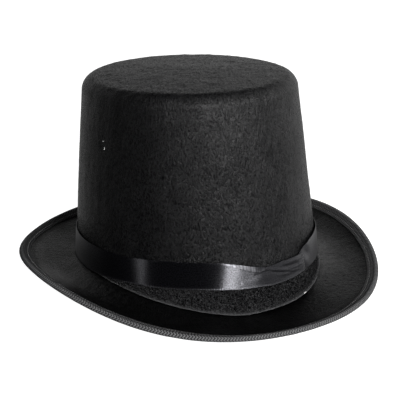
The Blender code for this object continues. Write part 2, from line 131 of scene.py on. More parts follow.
def edge_z(t):
    return 12.35 - 6.9 * np.cos(2 * t) + 2.43 * np.cos(4 * t)


def height_at(t, above, inset=0.0):
    """Height along the leaning axis of a wall point so far above the brim's root."""
    z = root_z(t) + above
    cos_t = np.cos(t)
    return (z - LEAN_SIN * (FOOT_LENGTH - inset) * cos_t) / (LEAN_COS - LEAN_SIN * TAPER_LENGTH * cos_t)


def wall_point(t, above, inset):
    return crown_point(t, height_at(t, above, inset), inset)


def brim_middle(t, run):
    """Half-length, half-width, z and shift along Y of the brim's middle, run 0 (root) to 1 (edge)."""
    height = height_at(t, 0.0)
    length, width = half_sizes(height, COLLAR_OUT + BRIM_FELT / 2)
    shift = LEAN_SIN * height * (1 - run)
    z = root_z(t) - BRIM_FELT / 2
    curl = np.clip((run - LEVEL_RUN) / (1 - LEVEL_RUN), 0, None) ** CURL_POWER
    dip = SIDE_DIP * side(t) ** 2 * np.sin(math.pi * np.clip(run, 0, 1)) ** 2
    return (length + (EDGE_LENGTH - length) * run, width + (EDGE_WIDTH - width) * run,
            z + (edge_z(t) - z) * curl - dip, shift)


def brim_point(t, run, above=0.0, beyond=0.0):
    """A point so far above and beyond the brim's middle, square to its slope."""
    length, width, z, shift = brim_middle(t, run)
    next_length, _, next_z, _ = brim_middle(t, run + 0.004)
    slope = np.arctan2(next_z - z, next_length - length)
    out = beyond * np.cos(slope) - above * np.sin(slope)
    rise = beyond * np.sin(slope) + above * np.cos(slope)
    return np.stack(np.broadcast_arrays(
        (width + out) * np.sin(t), -(length + out) * np.cos(t) + shift, z + rise), -1)


def from_edge(distance):
    """The brim's run at a distance in from its edge."""
    return 1.0 - distance / 46.0


# ------------------------------------------------------------------ noise and curves

def lattice(cell, seed):
    x, y, z = cell[..., 0], cell[..., 1], cell[..., 2]
    n = (x * 374761393 + y * 668265263 + z * 2147483647 + seed * 144665) & 0xFFFFFFFF
    n = ((n ^ (n >> 13)) * 1274126177) & 0xFFFFFFFF
    n = ((n ^ (n >> 16)) * 2246822519) & 0xFFFFFFFF
    return ((n ^ (n >> 15)) & 0xFFFFFF) / float(0xFFFFFF) * 2 - 1


def noise(points, size, seed):
    """Smooth noise from -1 to 1, with features of about size mm (a number or one per axis)."""
    scaled = np.asarray(points, float) / np.asarray(size, float)
    cell = np.floor(scaled).astype(np.int64)
    part = scaled - cell
    weight = part * part * part * (part * (part * 6 - 15) + 10)
    total = 0.0
    for corner in np.ndindex(2, 2, 2):
        share = np.where(corner, weight, 1 - weight).prod(-1)
        total = total + share * lattice(cell + corner, seed)
    return total


def relief(points, *layers):
    """A sum of noises; each layer is (amount, size, seed)."""
    return sum(amount * noise(points, size, seed) for amount, size, seed in layers)


def smooth(start, end, x):
    s = np.clip((np.asarray(x, float) - start) / (end - start), 0, 1)
    return s * s * (3 - 2 * s)


def curve(x, points):
    """A smooth curve through (x, y) points, flat beyond its ends (monotone cubic)."""
    xs, ys = np.array(points, float).T
    rises = np.diff(ys) / np.diff(xs)
    slopes = np.zeros_like(ys)
    for k in range(1, len(xs) - 1):
        before, after = rises[k - 1], rises[k]
        if before * after > 0:
            slopes[k] = 2 * before * after / (before + after)
    x = np.clip(x, xs[0], xs[-1])
    k = np.clip(np.searchsorted(xs, x, side="right") - 1, 0, len(xs) - 2)
    gap = xs[k + 1] - xs[k]
    s = (x - xs[k]) / gap
    return ((1 + 2 * s) * (1 - s) ** 2 * ys[k] + s * (1 - s) ** 2 * gap * slopes[k]
            + s * s * (3 - 2 * s) * ys[k + 1] + s * s * (s - 1) * gap * slopes[k + 1])


def unit(vectors):
    return vectors / np.maximum(np.linalg.norm(vectors, axis=-1, keepdims=True), 1e-9)


def level_out(points):
    """Level directions from the Z axis towards the points."""
    return unit(points * np.array([1.0, 1.0, 0.0]))


def on_drum(t, height):
    """Points on a drum of radius 95, to sample noise for cloth that goes round the crown."""
    return np.stack(np.broadcast_arrays(95 * np.cos(t), 95 * np.sin(t), height), -1)


# ------------------------------------------------------------------ meshes

def face_outward(mesh):
    """Turns the mesh's faces outward by its signed volume."""
    mesh.calc_loop_triangles()
    corners = np.empty(len(mesh.loop_triangles) * 3, np.int32)
    mesh.loop_triangles.foreach_get("vertices", corners)
    places = np.empty(len(mesh.vertices) * 3, np.float32)
    mesh.vertices.foreach_get("co", places)
    places = places.reshape(-1, 3).astype(float)
    first, second, third = (places[column] for column in corners.reshape(-1, 3).T)
    if np.einsum("ij,ij->i", first, np.cross(second, third)).sum() < 0:
        mesh.flip_normals()


def mesh_object(name, verts, faces, material, uv, masks=None):
    """verts in mm; uv: one (u, v) in mm per face corner; masks: name -> one number per vertex."""
    mesh = bpy.data.meshes.new(name)
    mesh.from_pydata((np.asarray(verts, float) * 0.001).tolist(), [], faces)
    mesh.materials.append(material)
    layer = mesh.uv_layers.new(name="cloth")
    layer.data.foreach_set("uv", np.asarray(uv, np.float32).ravel())
    for key, values in (masks or {}).items():
        attribute = mesh.attributes.new(key, "FLOAT", "POINT")
        attribute.data.foreach_set("value", np.asarray(values, np.float32).ravel())
    mesh.shade_smooth()
    mesh.validate()
    face_outward(mesh)
    made = bpy.data.objects.new(name, mesh)
    bpy.context.scene.collection.objects.link(made)
    return made


def grid(name, points, material, poles=None, capped=False, masks=None):
    """A closed skin through points[u, v].

    v closes on itself, or at each end on one of two poles. u closes on itself, or is capped.
    """
    nu, nv = points.shape[:2]
    verts = points.reshape(-1, 3)
    u_steps = nu - 1 if capped else nu
    v_steps = nv if poles is None else nv - 1
    u, v = np.meshgrid(np.arange(u_steps), np.arange(v_steps), indexing="ij")
    u2, v2 = (u + 1) % nu, (v + 1) % nv
    quads = [u * nv + v, u2 * nv + v, u2 * nv + v2, u * nv + v2]
    faces = np.stack(quads, -1).reshape(-1, 4).tolist()

    steps = np.linalg.norm(np.diff(points, axis=1, append=points[:, :1]), axis=-1).mean(0)
    along = np.concatenate([[0], np.cumsum(steps)])
    middle = points[:, nv // 2]
    last = middle[-1:] if capped else middle[:1]
    u_length = np.linalg.norm(np.diff(middle, axis=0, append=last), axis=-1).sum()
    du = float(u_length) / u_steps
    corners = [(u, v), (u + 1, v), (u + 1, v + 1), (u, v + 1)]
    uv = np.stack([np.stack([cu * du, along[cv]], -1) for cu, cv in corners], -2)
    uv = uv.reshape(-1, 2).tolist()

    extra = []
    if poles is not None:
        verts = np.concatenate([verts, np.array(poles, float)])
        extra = [0, 0]
        for which, row in ((0, 0), (1, nv - 1)):
            for i in range(nu):
                pair = [i * nv + row, ((i + 1) % nu) * nv + row]
                pair_uv = [[i * du, along[row]], [(i + 1) * du, along[row]]]
                beyond = 3
                if which == 0:
                    pair, pair_uv, beyond = pair[::-1], pair_uv[::-1], -3
                faces.append(pair + [nu * nv + which])
                uv += pair_uv + [[(i + 0.5) * du, along[row] + beyond]]
    if capped:
        faces.append(list(range(nv)))
        faces.append([(nu - 1) * nv + j for j in range(nv - 1, -1, -1)])
        uv += [[0.0, 0.0]] * (2 * nv)
    values = {key: np.concatenate([mask.reshape(-1), extra]) for key, mask in (masks or {}).items()}
    return mesh_object(name, verts, faces, material, uv, values)


def arch(count):
    """0 at a stitch's ends, 1 in its middle."""
    return np.sin(np.linspace(0, math.pi, count)) ** 0.5


def threads(name, tubes, material, sides=7, ring_step=0.3):
    """Capped tubes as one object; each tube is (centres, across, normals, radii) of its rings."""
    angles = TAU * np.arange(sides)[:, None] / sides
    verts, faces, uv = [], [], []
    for centres, across, normals, radii in tubes:
        base = len(verts)
        across, normals = (np.broadcast_to(a, centres.shape)[:, None] for a in (across, normals))
        circles = across * np.cos(angles) + normals * np.sin(angles)
        verts.extend((centres[:, None] + circles * radii[:, None, None]).reshape(-1, 3))
        for ring in range(len(centres) - 1):
            low = base + ring * sides
            high = low + sides
            for s in range(sides):
                s2 = (s + 1) % sides
                faces.append([low + s, low + s2, high + s2, high + s])
                u, u2 = ring * ring_step, (ring + 1) * ring_step
                v, v2 = s * 0.2, (s + 1) * 0.2
                uv += [[u, v], [u, v2], [u2, v2], [u2, v]]
        last = base + (len(centres) - 1) * sides
        faces.append([base + s for s in range(sides)][::-1])
        faces.append([last + s for s in range(sides)])
        uv += [[0.0, 0.0]] * (2 * sides)
    return mesh_object(name, np.array(verts), faces, material, uv)


def stitches(name, centre, across, normal, count, radius):
    """Separate stitches round the hat: short arched threads whose ends dive into the cloth.

    centre, across and normal give points and directions at angles t.
    """
    rings, gap, sink = 7, 0.28, 0.1
    arched = arch(rings)
    shares = np.linspace(gap / 2, 1 - gap / 2, rings)
    tubes = []
    for i, start in enumerate(turn(count)):
        wobble = 0.06 * math.sin(i * 12.9898)
        t = start + (shares - 0.5 + wobble * 0.3) * (TAU / count)
        middle = centre(t)
        forward = unit(np.gradient(middle, axis=0))
        normals = unit(normal(t))
        middle = middle + normals * ((arched - 1) * (radius + sink))[:, None] + across(t) * wobble
        tubes.append((middle, np.cross(forward, normals), normals, radius * (0.45 + 0.55 * arched)))
    return threads(name, tubes, COTTON, ring_step=0.35)


def register(piece, group, slot, *replaced):
    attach(piece, group)
    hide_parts(*replaced)


# ------------------------------------------------------------------ shader nodes

class Signal:
    """A node's output; + - * on it add Math nodes."""

    def __init__(self, tree, socket):
        self.tree, self.socket = tree, socket

    def output(self, key):
        """Another output of the same node."""
        return Signal(self.tree, self.socket.node.outputs[key])

    def math(self, operation, other=0.0):
        return math_node(self.tree, operation, self, other)

    def __add__(self, other):
        return self.math("ADD", other)

    def __sub__(self, other):
        return self.math("SUBTRACT", other)

    def __mul__(self, other):
        return self.math("MULTIPLY", other)

    def __rsub__(self, other):
        return math_node(self.tree, "SUBTRACT", other, self)


def feed(tree, inputs, values):
    """Links signals to inputs and sets plain values on them."""
    for key, value in values.items():
        if isinstance(value, Signal):
            tree.links.new(value.socket, inputs[key])
        else:
            inputs[key].default_value = value


def add_node(tree, kind, values, output=0, **settings):
    node = tree.nodes.new("ShaderNode" + kind)
    for key, value in settings.items():
        setattr(node, key, value)
    feed(tree, node.inputs, values)
    return Signal(tree, node.outputs[output])


def math_node(tree, operation, a, b, clamp=False):
    values = {0: a, 1: b, 2: 0.0}
    return add_node(tree, "Math", values, operation=operation, use_clamp=clamp)


def range_values(value, span, to):
    keys = ("Value", "From Min", "From Max", "To Min", "To Max")
    return dict(zip(keys, (value, *span, *to)))


class Nodes:
    """The node tree of one Principled material."""

    def __init__(self, name):
        self.material = bpy.data.materials.new(name)
        self.material.use_nodes = True
        self.tree = self.material.node_tree

    def add(self, kind, values, output=0, **settings):
        return add_node(self.tree, kind, values, output, **settings)

    @cached_property
    def metres(self):
        return self.add("TexCoord", {}, "Object")

    @cached_property
    def cloth(self):
        """The UV map, in mm."""
        return self.add("UVMap", {}, "UV", uv_map="cloth")

    def millimetres(self):
        return self.scale(self.metres, (1000, 1000, 1000))

    def scale(self, vector, by, turned=0.0, shift=(0, 0, 0)):
        values = {"Vector": vector, "Scale": by, "Rotation": (0, 0, turned), "Location": shift}
        return self.add("Mapping", values)

    def noise(self, vector, scale=1.0, detail=3.0, rough=0.55, warp=0.0):
        values = {"Vector": vector, "Scale": scale, "Detail": detail, "Roughness": rough,
                  "Distortion": warp}
        return self.add("TexNoise", values, "Fac", noise_dimensions="3D")

    def ridge(self, value, sharp):
        """Thin bright lines where a noise crosses its middle: single fibres."""
        away = (value - 0.5).math("ABSOLUTE")
        return math_node(self.tree, "SUBTRACT", 1.0, away * sharp, clamp=True)

    def wave(self, value, rate):
        """A sine from 0 to 1."""
        return (value * rate).math("SINE") * 0.5 + 0.5

    def remap(self, value, span, to=(0.0, 1.0)):
        return self.add("MapRange", range_values(value, span, to), clamp=True)

    def mix(self, share, a, b):
        return a * (1.0 - share) + b * share

    def colour(self, share, a, b):
        """A colour from a to b; each is an (r, g, b) or a signal."""
        a, b = (c if isinstance(c, Signal) else (*c, 1.0) for c in (a, b))
        # inputs 6 and 7 and output 2 are the Mix node's colours
        return self.add("Mix", {0: share, 6: a, 7: b}, 2, data_type="RGBA")

    def attribute(self, name):
        return self.add("Attribute", {}, "Fac", attribute_type="GEOMETRY", attribute_name=name)

    def split(self, vector):
        x = self.add("SeparateXYZ", {0: vector})
        return x, x.output(1), x.output(2)

    def bump(self, height, distance, strength=1.0):
        return self.add("Bump", {"Strength": strength, "Distance": distance, "Height": height})

    def finish(self, values):
        """Feeds the Principled shader's inputs."""
        feed(self.tree, self.tree.nodes["Principled BSDF"].inputs, values)
        return self.material


def sheen(weight, rough=0.4, tint=(1, 1, 1)):
    return {"Sheen Weight": weight, "Sheen Roughness": rough, "Sheen Tint": (*tint, 1.0)}


# ------------------------------------------------------------------ materials

# sets of felt fibres: fibres per mm, lean in radians, sharpness, weight, length
FIBRE_SETS = [
    (0.48, 0.16, 5.0, 0.85, 1.0),
    (0.72, -0.22, 5.0, 0.8, 0.8),
    (0.30, 0.30, 14.0, 1.1, 1.8),
]


def tangle(k, vector, stretch, seed):
    """Sets of fibres that each lean their own way, drawn out along v by stretch."""
    lines = None
    for per_mm, leaning, sharp, weight, length in FIBRE_SETS:
        turned = k.scale(vector, (1, 1, 1), leaning, (seed + 40 * per_mm, seed * 2, 0))
        drawn = k.scale(turned, (per_mm, per_mm / max(stretch * length, 1.0), per_mm))
        fibres = k.ridge(k.noise(drawn, detail=2.0, rough=0.55, warp=0.6), sharp) * weight
        lines = fibres if lines is None else lines.math("MAXIMUM", fibres)
    return lines


def felt(name, streak, dark, light, rough, gloss, depth, rim_gloss, rim_from, size, crown=False):
    """Pressed felt: tangled fibres, with pits and loose lighter fibres.

    The crown's changes with its masks flat (the tip), ragged (a strip at the foot) and fuzz (the
    foot's edge); the brim's gloss changes with a mask of painted sheen and painted shade.
    """
    k = Nodes(name)
    space = k.millimetres()
    fibres = tangle(k, k.scale(k.cloth, (1 / size, 1 / size, 1)), streak, seed=3.0)
    if crown:
        flat, ragged, fuzz = (k.attribute(mask) for mask in ("flat", "ragged", "fuzz"))
        tip_fibres = tangle(k, k.scale(space, (0.62, 0.62, 0.62)), stretch=1.0, seed=11.0)
        fibres = k.mix(flat, fibres, tip_fibres)
        grain_noise = k.noise(k.scale(k.cloth, (1, 0.55, 1)), scale=0.62 / size, rough=0.72)
    else:
        grain_noise = k.noise(space, scale=0.42 / size, rough=0.72)
    grain = k.remap(grain_noise, (0.36, 0.64))
    if crown:
        tip_grain = k.remap(k.noise(space, scale=0.47, rough=0.72), (0.34, 0.66))
        grain = k.mix(flat, grain, tip_grain)

    blotch = k.noise(space, scale=0.075, detail=4.0, rough=0.65)
    value = fibres * 0.72 + grain * 0.38
    value = value * k.remap(blotch, (0.32, 0.68), to=(0.86, 1.2))
    height = fibres * 0.7 + grain * 0.55
    if crown:
        height = height * k.remap(flat, (0.0, 1.0), to=(1.0, 1.1))
        curl = k.noise(space, rough=0.7, warp=1.4)
        knots = k.remap(curl, (0.36, 0.66))
        value = k.mix(ragged, value, knots.math("POWER", 2.6) * 2.7 + 0.03)
        height = k.mix(ragged, height, knots * 1.5)
        value = value + fuzz * k.remap(curl, (0.35, 0.6), to=(0.6, 3.0))
    colour = k.colour(k.remap(value, (0.25, 1.3)), dark, light)
    if crown:
        loose = (ragged * 0.28).math("MAXIMUM", fuzz) * k.remap(value, (0.2, 1.5))
        colour = k.colour(loose, colour, (0.06, 0.06, 0.062))

    # loose fibres stand up and hide the gloss where the felt is seen edge-on
    shine = k.remap(value, (0.12, 1.0), to=gloss)
    facing = k.add("LayerWeight", {"Blend": 0.5}, "Facing")
    shine = shine * k.remap(facing, (rim_from, 0.96), to=(1.0, rim_gloss))
    if crown:
        # the tip's nap lies slantwise; painted highlight: the wall's gloss is raised towards its top
        nap = k.scale(k.scale(space, (1, 1, 1), math.radians(32.0)), (1.7, 0.6, 1.0))
        flecks = k.noise(nap, scale=0.42, detail=2.0, rough=0.7)
        flecks = k.remap(flecks, (0.36, 0.64), to=(0.15, 1.6))
        tip_shine = k.remap(value, (0.20, 0.85), to=(0.006, 0.062)) * flecks * flat
        painted_top_highlight = k.remap(k.split(space)[2], (112.0, 142.0), to=(1.0, 1.25))
        shine = shine * painted_top_highlight * (1.0 - flat) + tip_shine
    else:
        # painted sheen and painted shade: the brim's gloss raised in a patch beside the crown and
        # lowered in front, at the back right and near the tape
        shine = shine * k.remap(k.attribute("painted_sheen_and_shade"), (-1.0, 2.0), to=(0.1, 2.8))
    return k.finish({
        "Base Color": colour,
        "Roughness": k.remap(grain, (0.0, 1.0), to=rough),
        "Normal": k.bump(height, depth),
        "Specular IOR Level": shine,
    })


def satin(name):
    """Black warp-faced satin: long floats along the ribbon, so its highlights spread across it."""
    k = Nodes(name)
    u, v, _ = k.split(k.cloth)

    def weave(u_rate, v_rate, layer, detail, rough):
        place = k.add("CombineXYZ", {0: u * u_rate, 1: v * v_rate, 2: layer})
        return k.noise(place, detail=detail, rough=rough)

    floats = weave(u_rate=0.8, v_rate=3.0, layer=0.0, detail=3.0, rough=0.6)
    picks = weave(u_rate=0.95, v_rate=1.1, layer=3.0, detail=3.0, rough=0.75)
    slubs = weave(u_rate=0.15, v_rate=1.6, layer=7.0, detail=2.0, rough=0.5)
    edge = k.attribute("selvedge")
    black = k.colour(k.remap(picks, (0.35, 0.65)), (0.0008, 0.0008, 0.001), (0.0022, 0.0022, 0.0028))
    return k.finish({
        "Base Color": k.colour(edge, black, (0.03, 0.03, 0.032)),
        "Roughness": k.remap(slubs, (0.3, 0.7), to=(0.29, 0.33)) + edge * 0.05,
        "Normal": k.bump(floats * 0.3 + picks * 1.0, distance=0.00003, strength=0.5),
        **sheen(0.0, rough=0.3, tint=(0.9, 0.9, 1.0)),
        "Specular IOR Level": k.remap(picks, (0.40, 0.58), to=(0.35, 1.0)),
        "Specular Tint": (0.93, 0.93, 1.0, 1.0),
        "Anisotropic": k.remap(edge, (0.0, 1.0), to=(1.0, 0.2)),
        "Anisotropic Rotation": 0.25,
        "Tangent": k.add("Tangent", {}, direction_type="RADIAL", axis="Z"),
    })


def twill(name, dark, light, rib, slope, herring=0.0):
    """Narrow woven tape: fine ribs, rib mm apart and slanted by slope, with threads across them.

    herring turns the slant back every so many mm. The mask upper darkens the tape's colour: painted
    shade on its top leg.
    """
    k = Nodes(name)
    u, v, _ = k.split(k.cloth)
    across = v.math("PINGPONG", herring) if herring else v
    ribs = k.wave(u * (1.0 / rib) + across * (slope / rib), TAU)
    crossing = k.wave(v, TAU / 0.45)
    lint = k.noise(k.millimetres(), scale=1.3, rough=0.7)
    height = ribs * 0.8 + (crossing * 0.25 + lint * 0.4)
    tone = k.remap(ribs * 0.6 + lint * 0.5, (0.25, 0.9))
    # painted shade: the top leg's colour darkened by the mask upper
    tone = tone * k.remap(k.attribute("upper"), (0.0, 1.0), to=(1.0, 0.42))
    return k.finish({
        "Base Color": k.colour(tone, dark, light),
        "Roughness": 0.95,
        "Normal": k.bump(height, distance=0.00022, strength=0.9),
        **sheen(0.0, tint=(0.95, 0.96, 1.0)),
        "Specular IOR Level": 0.0,
    })


def cotton(name, dark, light):
    """Twisted sewing thread; its uv runs along the thread."""
    k = Nodes(name)
    u, v, _ = k.split(k.cloth)
    ply = k.wave(u * 3.0 + v * 2.0, TAU)
    fuzz = k.noise(k.millimetres(), scale=4.0, detail=2.0)
    tone = ply * k.remap(fuzz, (0.3, 0.7), to=(0.6, 1.2))
    return k.finish({
        "Base Color": k.colour(tone, dark, light),
        "Roughness": 0.55,
        "Normal": k.bump(ply + fuzz * 0.5, distance=0.00006, strength=0.8),
        **sheen(0.3),
        "Specular IOR Level": 0.4,
    })


def steel(name):
    k = Nodes(name)
    drawn = k.noise(k.scale(k.metres, (400, 400, 4000)), detail=4.0, rough=0.7)
    return k.finish({
        "Base Color": k.colour(drawn, (0.26, 0.26, 0.27), (0.42, 0.42, 0.43)),
        "Roughness": k.remap(drawn, (0.3, 0.7), to=(0.25, 0.45)),
        "Normal": k.bump(drawn, distance=0.00002),
        "Metallic": 1.0,
    })


def moulded(name):
    k = Nodes(name)
    cloud = k.noise(k.scale(k.metres, (300, 300, 300)))
    return k.finish({
        "Base Color": k.colour(cloud, (0.30, 0.30, 0.29), (0.42, 0.42, 0.40)),
        "Roughness": k.remap(cloud, (0.3, 0.7), to=(0.35, 0.5)),
        "Normal": k.bump(cloud, distance=0.00003),
        "Specular IOR Level": 0.5,
    })


def woven_label(name):
    k = Nodes(name)
    x, _, z = k.split(k.millimetres())
    weave = k.wave(x, TAU / 0.35) * k.wave(z, TAU / 0.30)
    lint = k.noise(k.millimetres(), scale=0.5)
    return k.finish({
        "Base Color": k.colour(weave * 0.6 + lint * 0.4, (0.52, 0.51, 0.48), (0.78, 0.77, 0.74)),
        "Roughness": 0.75,
        "Normal": k.bump(weave, distance=0.00008, strength=0.8),
        **sheen(0.2),
    })


CROWN = felt("crown_felt_fibres", streak=3.8, dark=(0.0002, 0.0002, 0.0003),
             light=(0.006, 0.006, 0.0063), rough=(0.25, 0.31), gloss=(0.0, 0.155),
             depth=0.00032, rim_gloss=0.35, rim_from=0.45, size=0.9, crown=True)
BRIM = felt("brim_felt_fibres", streak=2.6, dark=(0.0001, 0.0001, 0.0001),
            light=(0.0010, 0.0010, 0.0011), rough=(0.32, 0.40), gloss=(0.0, 0.58),
            depth=0.0003, rim_gloss=0.25, rim_from=0.62, size=1.2)
SATIN = satin("ribbon_satin_weave")
TAPE = twill("binding_twill", dark=(0.001, 0.001, 0.0011), light=(0.108, 0.108, 0.110),
             rib=2.2, slope=1.0, herring=1.6)
BAND = twill("sweatband_weave", dark=(0.004, 0.004, 0.004), light=(0.022, 0.022, 0.022),
             rib=0.9, slope=0.0)
LINING = satin("lining_satin_weave")
COTTON = cotton("black_cotton", dark=(0.004, 0.004, 0.004), light=(0.03, 0.03, 0.031))
STEEL = steel("drawn_steel")
REED = moulded("reed_plastic_cloudy")
LABEL = woven_label("label_weave")

# ------------------------------------------------------------------ crown

BODY_STEPS = 480                # steps round the crown and the brim
# lift of the foot off the brim near the front: angle in degrees, mm
FOOT_LIFT = [(-60, 0.3), (-20, 0.7), (0, 1.5), (14, 2.0), (26, 1.2), (45, 0.3)]


def crown_felt():
    t = turn(BODY_STEPS)[:, None]
    foot_lift = curve(np.degrees(t), FOOT_LIFT)
    # outer face: the wall from its flared foot up, the shoulder, and the tip inward
    base = height_at(t, 0.35) + foot_lift
    room = 17.1 - height_at(t, 0.0)
    flare = 1.3 * np.clip((room - 1.5) / 8.0, 0.05, 1.0)
    share = np.concatenate([[0.0, 0.003, 0.007], np.linspace(0.013, 1.0, 112)])
    height = base + (WALL_TOP - base) * share
    above = height - base
    wall = crown_point(t, height, -flare * np.exp(-above / 1.6))
    bends = np.linspace(0, math.pi / 2, 13)[1:]
    tip_shares = np.linspace(1.0, 0.04, 50)[1:]
    outer = np.concatenate([wall] + [shoulder_point(t, bend) for bend in bends]
                           + [tip_point(t, s) for s in tip_shares], axis=1)

    normals = unit(np.cross(np.roll(outer, -1, 0) - np.roll(outer, 1, 0),
                            np.gradient(outer, axis=1)))
    centre = np.array([0, 0, 75.0])
    normals *= np.sign(np.einsum("ijk,ijk->ij", normals, outer - centre))[..., None]

    over_top = ((0, 0), (0, len(bends) + len(tip_shares)))
    ragged = np.pad(smooth(19.5, 15.5, height), over_top)
    fuzz = np.pad(np.exp(-above / 0.9), over_top)
    flat = np.concatenate([np.zeros(len(share)), smooth(0.7, 1.25, bends),
                           np.ones(len(tip_shares))]) * np.ones((BODY_STEPS, 1))
    uneven = relief(outer, (0.45, 70, 1), (0.22, 28, 2), (0.10, (5, 5, 30), 3),
                    (0.07, (3, 3, 16), 4), (0.06, 3.2, 5))
    uneven += ragged * relief(outer, (0.22, 2.8, 6), (0.16, 5.0, 7))
    uneven += fuzz * relief(outer, (0.45, 2.6, 8), (0.3, 7, 9))
    uneven += flat * relief(outer, (0.15, 6.5, 10), (0.10, 4.0, 11))
    outer = outer + normals * (uneven + 0.15)[..., None]

    # inner face, from the foot up
    low = height_at(t, 2.4)
    inner = [crown_point(t, height_at(t, 0.45) + foot_lift, CROWN_FELT - 0.7),
             crown_point(t, height_at(t, 1.4) + foot_lift * 0.5, CROWN_FELT)]
    inner += [crown_point(t, low + (WALL_TOP - low) * s, CROWN_FELT)
              for s in np.linspace(0.03, 1.0, 9)]
    inner += [shoulder_point(t, bend, CROWN_FELT) for bend in bends[::3]]
    inner += [tip_point(t, s, CROWN_FELT) for s in (0.9, 0.6, 0.3, 0.04)]
    inner = np.concatenate(inner, axis=1)[:, ::-1]

    masks = {"ragged": ragged, "fuzz": fuzz, "flat": flat}
    masks = {key: np.pad(mask, ((0, 0), (inner.shape[1], 0))) for key, mask in masks.items()}
    top = CROWN_HEIGHT + DOME
    poles = (lean(0.0, 0.0, top - CROWN_FELT), lean(0.0, 0.0, top + 0.15))
    return grid("crown_felt", np.concatenate([inner, outer], axis=1), CROWN, poles=poles,
                masks=masks)


register(crown_felt(), "hat", "crown_felt", "crown_shell")

# ------------------------------------------------------------------ brim


def brim_painted_sheen_and_shade(points, run):
    """Gloss mask of the brim's felt, -1 to 2: a painted sheen patch and painted shade, with a little
    noise.
    """
    x, y = points[..., 0], points[..., 1]
    angle = np.degrees(np.arctan2(x, -y))
    # painted sheen: gloss raised in a patch beside the crown, left of the front
    painted_sheen_patch = np.exp(-((angle - 60) / 24) ** 2) * np.clip(2.1 * (1 - run / 0.62), -0.5, 2.0)
    # painted shade: gloss lowered in front, at the back right and towards and under the tape
    front = smooth(0.45, 0.9, (x * -0.36 + y * -0.93) / np.maximum(np.hypot(x, y), 1.0))
    painted_rear_shade = smooth(5, 48, y) * smooth(15, -25, x)
    painted_sheen_and_shade = (painted_sheen_patch - 0.8 * front * (1 - np.clip(painted_sheen_patch, 0, 1)) - 0.85 * painted_rear_shade
            - 0.6 * smooth(0.72, 0.92, run) + 0.15 * noise(points, 20, 25))
    return np.clip(painted_sheen_and_shade, -1, 2)


def brim_felt():
    t = turn(BODY_STEPS)[:, None]
    half = BRIM_FELT / 2

    def wall_rows(*stations):
        return [wall_point(t, above, inset) for above, inset in stations]

    # outer face of the upstand inside the crown, from its top down: height, inset
    collar = wall_rows((10.0, COLLAR_IN - 0.3), (10.2, COLLAR_IN - 0.8), (10.0, COLLAR_OUT + 0.3),
                       *((z, COLLAR_OUT) for z in (8.0, 6.0, 4.0, 2.4, 1.2)),
                       (0.35, COLLAR_OUT - 0.25), (0.0, COLLAR_OUT - 0.9))
    runs = np.linspace(0.07, from_edge(0.9), 50)
    top = [brim_point(t, run, half) for run in runs]
    edge = [brim_point(t, 1.0, half * math.sin(k), -0.5 + 0.5 * math.cos(k))
            for k in np.radians([55, 20, -20, -55])]
    bottom = [brim_point(t, run, -half) for run in runs[::-1]]
    # under the root and up the upstand's inner face
    under = wall_rows((-BRIM_FELT, COLLAR_IN - 2.0), (-BRIM_FELT + 0.15, COLLAR_IN - 1.1),
                      (-BRIM_FELT + 0.7, COLLAR_IN - 0.35),
                      *((z, COLLAR_IN) for z in (0.4, 2.0, 4.0, 6.0, 8.0)))
    points = np.concatenate(collar + top + edge + bottom + under, axis=1)
    top_start = len(collar)
    top_rows = slice(top_start, top_start + len(top))

    normals = unit(np.cross(np.roll(points, -1, 0) - np.roll(points, 1, 0),
                            np.roll(points, -1, 1) - np.roll(points, 1, 1)))
    if normals[:, top_start + 20, 2].mean() < 0:
        normals = -normals
    # the unevenness fades at the root and the edge
    fade = smooth(0.0, 0.1, runs - 0.05) * smooth(1.0, 0.85, runs)
    fade = np.concatenate([np.zeros(top_start), fade, np.zeros(len(edge)), fade[::-1],
                           np.zeros(len(under))])
    wave = relief(points, (0.30, 45, 21), (0.14, 16, 22)) * fade
    points[:, top_rows, 2] += wave[:, top_rows]
    fine = relief(points, (0.05, 4.0, 23), (0.035, 2.8, 24))
    points = points + normals * (fine * fade)[..., None]

    run = np.full(points.shape[1], 0.5)
    run[top_rows] = runs
    # the brim's gloss mask of painted sheen and painted shade
    return grid("brim_felt", points, BRIM, masks={"painted_sheen_and_shade": brim_painted_sheen_and_shade(points, run)})


register(brim_felt(), "hat", "brim_felt", "brim")

# ------------------------------------------------------------------ binding tape round the brim's edge

TAPE_STEPS = 1360
TAPE_STITCHES = 340
TAPE_LEG = 6.6                          # reach of the tape in from the brim's edge
TAPE_SEAM = 4.4                         # its stitching, in from the edge
TAPE_NEAR = BRIM_FELT / 2 + 0.2         # inner face, from the brim's middle
TAPE_THICK = 0.42
# rows of a leg, in from the edge; the last tucks towards the felt
TAPE_ROWS = np.array([0.0, 0.35, 0.8, 1.3, 1.7, 2.2, 2.7, 3.2, 3.7, 4.1, 4.4, 4.7, 5.1, 5.6, 6.2,
                      6.6, 6.9])


